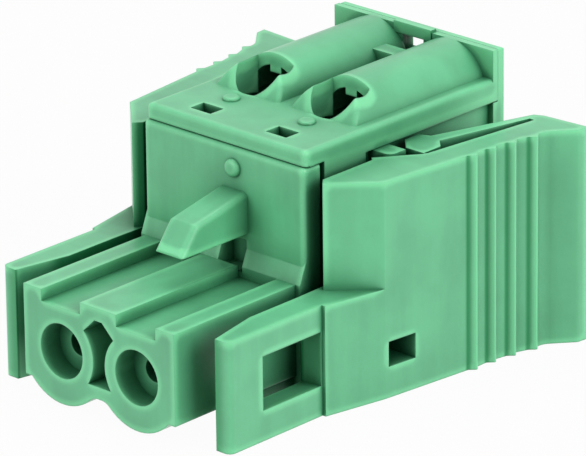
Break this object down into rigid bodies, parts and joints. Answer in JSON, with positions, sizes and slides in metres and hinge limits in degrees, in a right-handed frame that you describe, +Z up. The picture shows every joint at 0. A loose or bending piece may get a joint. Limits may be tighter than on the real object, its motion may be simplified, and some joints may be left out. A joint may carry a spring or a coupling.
{
  "type": "pluggable terminal block",
  "caption": "Green pluggable terminal block with sockets in a keyed mating end, spring clamps with release buttons and a hinged lock and release lever on each side.",
  "frame": {"origin": "middle of the underside of the whole part, levers included", "axes": "+X to the right when looking from the mating face towards the wire side, +Y from the mating face towards the wire side, +Z up"},
  "size_m": [0.022, 0.024, 0.0143],
  "materials": {
    "housing_plastic": "satin moulded polyamide, light green",
    "cover_plastic": "satin moulded polyamide, light green",
    "lever_plastic": "satin moulded polyamide, light green",
    "contact_metal": "tin-plated copper alloy strip",
    "spring_steel": "plain spring steel strip",
    "button_plastic": "satin moulded polyamide, black"
  },
  "bodies": {
    "body": {"housing": "housing_plastic", "cover": "cover_plastic", "contact_left": "contact_metal", "contact_right": "contact_metal", "clamp_spring_left": "spring_steel", "clamp_spring_right": "spring_steel"},
    "lever_left": {"lever_left": "lever_plastic"},
    "lever_right": {"lever_right": "lever_plastic"},
    "button_left": {"release_button_left": "button_plastic"},
    "button_right": {"release_button_right": "button_plastic"}
  },
  "joints": [
    {"name": "lever_right_hinge", "type": "hinge", "parent": "body", "child": "lever_right", "pos_m": [0.00595, 0.00255, 0.00296], "axis": [0, 0, 1], "range_deg": [0, 5], "stiffness_Nm_per_rad": 0.02},
    {"name": "lever_left_hinge", "type": "hinge", "parent": "body", "child": "lever_left", "pos_m": [-0.00595, 0.00255, 0.00296], "axis": [0, 0, -1], "range_deg": [0, 5], "stiffness_Nm_per_rad": 0.02},
    {"name": "button_left_press", "type": "slide", "parent": "body", "child": "button_left", "axis": [0, -1, 0], "range_m": [0, 0.0015], "stiffness_N_per_m": 300, "deforming": ["clamp_spring_left"]},
    {"name": "button_right_press", "type": "slide", "parent": "body", "child": "button_right", "axis": [0, -1, 0], "range_m": [0, 0.0015], "stiffness_N_per_m": 300, "deforming": ["clamp_spring_right"]}
  ]
}
